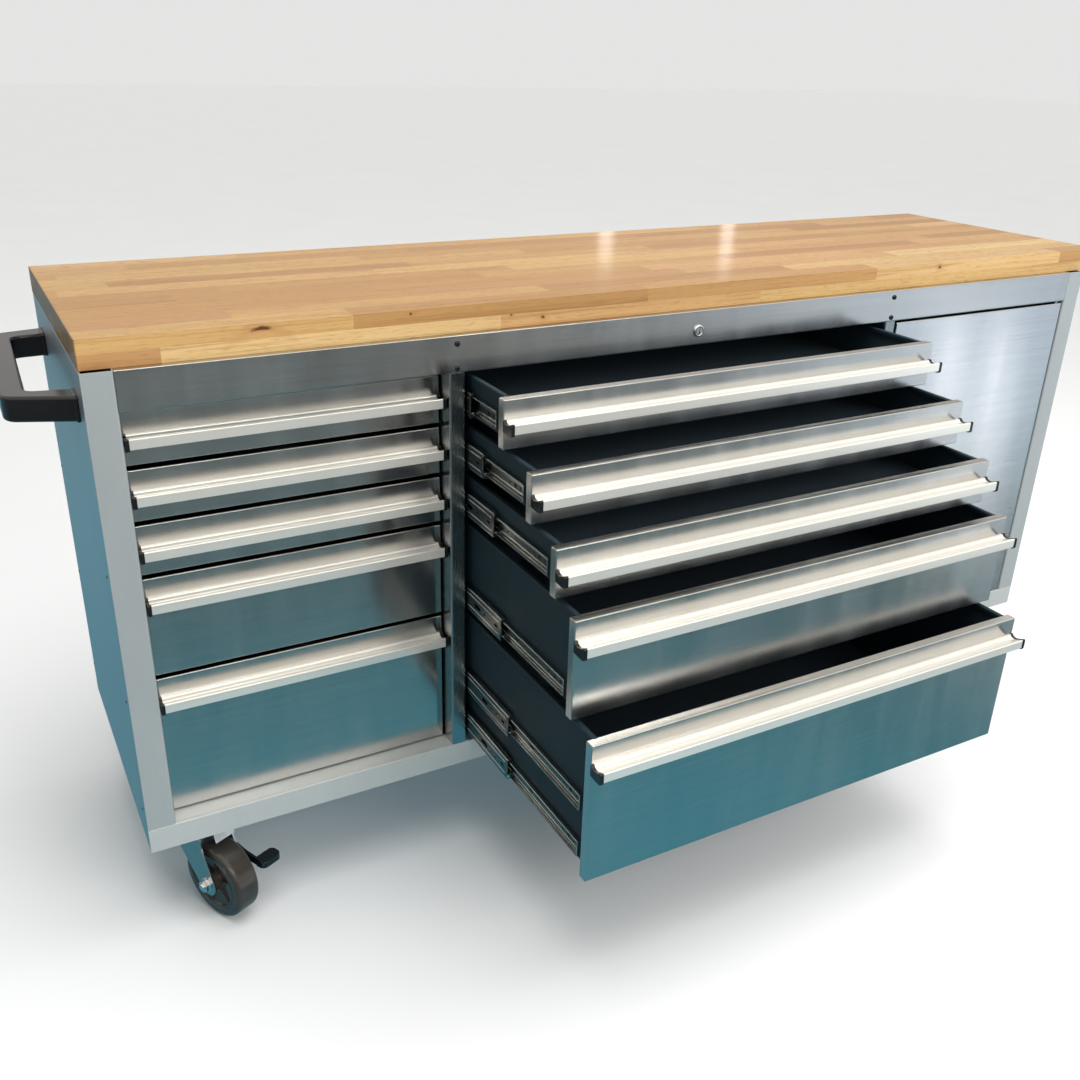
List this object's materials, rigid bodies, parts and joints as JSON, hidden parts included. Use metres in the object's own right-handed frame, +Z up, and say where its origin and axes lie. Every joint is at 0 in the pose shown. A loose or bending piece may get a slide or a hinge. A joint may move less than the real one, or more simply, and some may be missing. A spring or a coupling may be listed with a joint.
{
  "type": "workbench with drawers",
  "caption": "Rolling stainless-steel tool-chest workbench with a wooden top, drawers on telescopic slides, a cupboard with a hinged door, a push handle and swivel casters.",
  "frame": {"origin": "on the floor under the middle of the bench's bounding box, as it stands at rest with its middle drawers pulled out", "axes": "+X along the front towards the cupboard's end, +Y from front to back, +Z up"},
  "size_m": [1.913, 0.893, 0.902],
  "materials": {
    "butcher_block": "satin lacquer",
    "satin_steel": "satin, brushed along the sheet",
    "brushed_steel": "brushed",
    "dark_paint": "semi-gloss powder coat",
    "anodised_aluminium": "satin anodised",
    "zinc_plate": "bright zinc plate",
    "caster_rubber": "smooth",
    "black_plastic": "satin"
  },
  "bodies": {
    "cabinet": {"worktop": "butcher_block", "left_side": "satin_steel", "right_side": "satin_steel", "back_panel": "satin_steel", "base_panel": "satin_steel", "left_post": "satin_steel", "right_post": "satin_steel", "left_partition": "satin_steel", "right_partition": "satin_steel", "header_rail": "brushed_steel", "sill_rail": "satin_steel", "slide_channels": "zinc_plate", "header_screws": "black_plastic", "lock_housing": "zinc_plate", "push_handle": "black_plastic", "caster_plates": "zinc_plate", "door_hinge_pins": "zinc_plate"},
    "drawer_left_1": {"drawer_left_1": "dark_paint", "pull_left_1": "anodised_aluminium"},
    "carriage_left_1": {"carriage_left_1": "zinc_plate"},
    "drawer_left_2": {"drawer_left_2": "dark_paint", "pull_left_2": "anodised_aluminium"},
    "carriage_left_2": {"carriage_left_2": "zinc_plate"},
    "drawer_left_3": {"drawer_left_3": "dark_paint", "pull_left_3": "anodised_aluminium"},
    "carriage_left_3": {"carriage_left_3": "zinc_plate"},
    "drawer_left_4": {"drawer_left_4": "dark_paint", "pull_left_4": "anodised_aluminium"},
    "carriage_left_4": {"carriage_left_4": "zinc_plate"},
    "drawer_left_5": {"drawer_left_5": "dark_paint", "pull_left_5": "anodised_aluminium"},
    "carriage_left_5": {"carriage_left_5": "zinc_plate"},
    "drawer_middle_1": {"drawer_middle_1": "dark_paint", "pull_middle_1": "anodised_aluminium"},
    "carriage_middle_1": {"carriage_middle_1": "zinc_plate"},
    "drawer_middle_2": {"drawer_middle_2": "dark_paint", "pull_middle_2": "anodised_aluminium"},
    "carriage_middle_2": {"carriage_middle_2": "zinc_plate"},
    "drawer_middle_3": {"drawer_middle_3": "dark_paint", "pull_middle_3": "anodised_aluminium"},
    "carriage_middle_3": {"carriage_middle_3": "zinc_plate"},
    "drawer_middle_4": {"drawer_middle_4": "dark_paint", "pull_middle_4": "anodised_aluminium"},
    "carriage_middle_4": {"carriage_middle_4": "zinc_plate"},
    "drawer_middle_5": {"drawer_middle_5": "dark_paint", "pull_middle_5": "anodised_aluminium"},
    "carriage_middle_5": {"carriage_middle_5": "zinc_plate"},
    "door": {"door": "brushed_steel", "door_pull": "anodised_aluminium"},
    "lock_plug": {"lock_plug": "zinc_plate"},
    "fork_front_left": {"fork_front_left": "zinc_plate"},
    "wheel_front_left": {"wheel_front_left": "caster_rubber"},
    "brake_front_left": {"brake_front_left": "black_plastic"},
    "fork_front_right": {"fork_front_right": "zinc_plate"},
    "wheel_front_right": {"wheel_front_right": "caster_rubber"},
    "brake_front_right": {"brake_front_right": "black_plastic"},
    "fork_rear_left": {"fork_rear_left": "zinc_plate"},
    "wheel_rear_left": {"wheel_rear_left": "caster_rubber"},
    "fork_rear_right": {"fork_rear_right": "zinc_plate"},
    "wheel_rear_right": {"wheel_rear_right": "caster_rubber"}
  },
  "joints": [
    {"name": "drawer_left_1_slide", "type": "slide", "parent": "cabinet", "child": "drawer_left_1", "axis": [0, -1, 0], "range_m": [0, 0.406]},
    {"name": "carriage_left_1_slide", "type": "slide", "parent": "cabinet", "child": "carriage_left_1", "axis": [0, -1, 0], "range_m": [0, 0.203]},
    {"name": "drawer_left_2_slide", "type": "slide", "parent": "cabinet", "child": "drawer_left_2", "axis": [0, -1, 0], "range_m": [0, 0.406]},
    {"name": "carriage_left_2_slide", "type": "slide", "parent": "cabinet", "child": "carriage_left_2", "axis": [0, -1, 0], "range_m": [0, 0.203]},
    {"name": "drawer_left_3_slide", "type": "slide", "parent": "cabinet", "child": "drawer_left_3", "axis": [0, -1, 0], "range_m": [0, 0.406]},
    {"name": "carriage_left_3_slide", "type": "slide", "parent": "cabinet", "child": "carriage_left_3", "axis": [0, -1, 0], "range_m": [0, 0.203]},
    {"name": "drawer_left_4_slide", "type": "slide", "parent": "cabinet", "child": "drawer_left_4", "axis": [0, -1, 0], "range_m": [0, 0.406]},
    {"name": "carriage_left_4_slide", "type": "slide", "parent": "cabinet", "child": "carriage_left_4", "axis": [0, -1, 0], "range_m": [0, 0.203]},
    {"name": "drawer_left_5_slide", "type": "slide", "parent": "cabinet", "child": "drawer_left_5", "axis": [0, -1, 0], "range_m": [0, 0.406]},
    {"name": "carriage_left_5_slide", "type": "slide", "parent": "cabinet", "child": "carriage_left_5", "axis": [0, -1, 0], "range_m": [0, 0.203]},
    {"name": "drawer_middle_1_slide", "type": "slide", "parent": "cabinet", "child": "drawer_middle_1", "axis": [0, -1, 0], "range_m": [-0.143, 0.263]},
    {"name": "carriage_middle_1_slide", "type": "slide", "parent": "cabinet", "child": "carriage_middle_1", "axis": [0, -1, 0], "range_m": [-0.0715, 0.1315]},
    {"name": "drawer_middle_2_slide", "type": "slide", "parent": "cabinet", "child": "drawer_middle_2", "axis": [0, -1, 0], "range_m": [-0.225, 0.181]},
    {"name": "carriage_middle_2_slide", "type": "slide", "parent": "cabinet", "child": "carriage_middle_2", "axis": [0, -1, 0], "range_m": [-0.1125, 0.0905]},
    {"name": "drawer_middle_3_slide", "type": "slide", "parent": "cabinet", "child": "drawer_middle_3", "axis": [0, -1, 0], "range_m": [-0.295, 0.111]},
    {"name": "carriage_middle_3_slide", "type": "slide", "parent": "cabinet", "child": "carriage_middle_3", "axis": [0, -1, 0], "range_m": [-0.1475, 0.0555]},
    {"name": "drawer_middle_4_slide", "type": "slide", "parent": "cabinet", "child": "drawer_middle_4", "axis": [0, -1, 0], "range_m": [-0.348, 0.058]},
    {"name": "carriage_middle_4_slide", "type": "slide", "parent": "cabinet", "child": "carriage_middle_4", "axis": [0, -1, 0], "range_m": [-0.174, 0.029]},
    {"name": "drawer_middle_5_slide", "type": "slide", "parent": "cabinet", "child": "drawer_middle_5", "axis": [0, -1, 0], "range_m": [-0.402, 0.004]},
    {"name": "carriage_middle_5_slide", "type": "slide", "parent": "cabinet", "child": "carriage_middle_5", "axis": [0, -1, 0], "range_m": [-0.201, 0.002]},
    {"name": "door_hinge", "type": "hinge", "parent": "cabinet", "child": "door", "pos_m": [0.861, -0.0435, 0.8035], "axis": [0, 0, 1], "range_deg": [0, 110]},
    {"name": "lock_turn", "type": "hinge", "parent": "cabinet", "child": "lock_plug", "pos_m": [0.0195, -0.0505, 0.833], "axis": [0, 1, 0], "range_deg": [0, 90]},
    {"name": "swivel_front_left", "type": "hinge", "parent": "cabinet", "child": "fork_front_left", "pos_m": [-0.7905, 0.0075, 0.14], "axis": [0, 0, 1], "continuous": true},
    {"name": "roll_front_left", "type": "hinge", "parent": "fork_front_left", "child": "wheel_front_left", "pos_m": [-0.77444, -0.02694, 0.0625], "axis": [0.9063, 0.4226, 0], "continuous": true},
    {"name": "brake_front_left_press", "type": "hinge", "parent": "fork_front_left", "child": "brake_front_left", "pos_m": [-0.77444, -0.02694, 0.0925], "axis": [0.9063, 0.4226, 0], "range_deg": [0, 12]},
    {"name": "swivel_front_right", "type": "hinge", "parent": "cabinet", "child": "fork_front_right", "pos_m": [0.8295, 0.0075, 0.14], "axis": [0, 0, 1], "continuous": true},
    {"name": "roll_front_right", "type": "hinge", "parent": "fork_front_right", "child": "wheel_front_right", "pos_m": [0.84124, -0.02864, 0.0625], "axis": [0.9511, 0.309, 0], "continuous": true},
    {"name": "brake_front_right_press", "type": "hinge", "parent": "fork_front_right", "child": "brake_front_right", "pos_m": [0.84124, -0.02864, 0.0925], "axis": [0.9511, 0.309, 0], "range_deg": [0, 12]},
    {"name": "swivel_rear_left", "type": "hinge", "parent": "cabinet", "child": "fork_rear_left", "pos_m": [-0.7905, 0.3815, 0.14], "axis": [0, 0, 1], "continuous": true},
    {"name": "roll_rear_left", "type": "hinge", "parent": "fork_rear_left", "child": "wheel_rear_left", "pos_m": [-0.77036, 0.34927, 0.0625], "axis": [0.848, 0.5299, 0], "continuous": true},
    {"name": "swivel_rear_right", "type": "hinge", "parent": "cabinet", "child": "fork_rear_right", "pos_m": [0.8295, 0.3815, 0.14], "axis": [0, 0, 1], "continuous": true},
    {"name": "roll_rear_right", "type": "hinge", "parent": "fork_rear_right", "child": "wheel_rear_right", "pos_m": [0.8374, 0.34433, 0.0625], "axis": [0.9781, 0.2079, 0], "continuous": true}
  ],
  "couplings": [
    {"joint": "carriage_left_1_slide", "follows": "drawer_left_1_slide", "ratio": 0.5},
    {"joint": "carriage_left_2_slide", "follows": "drawer_left_2_slide", "ratio": 0.5},
    {"joint": "carriage_left_3_slide", "follows": "drawer_left_3_slide", "ratio": 0.5},
    {"joint": "carriage_left_4_slide", "follows": "drawer_left_4_slide", "ratio": 0.5},
    {"joint": "carriage_left_5_slide", "follows": "drawer_left_5_slide", "ratio": 0.5},
    {"joint": "carriage_middle_1_slide", "follows": "drawer_middle_1_slide", "ratio": 0.5},
    {"joint": "carriage_middle_2_slide", "follows": "drawer_middle_2_slide", "ratio": 0.5},
    {"joint": "carriage_middle_3_slide", "follows": "drawer_middle_3_slide", "ratio": 0.5},
    {"joint": "carriage_middle_4_slide", "follows": "drawer_middle_4_slide", "ratio": 0.5},
    {"joint": "carriage_middle_5_slide", "follows": "drawer_middle_5_slide", "ratio": 0.5}
  ]
}
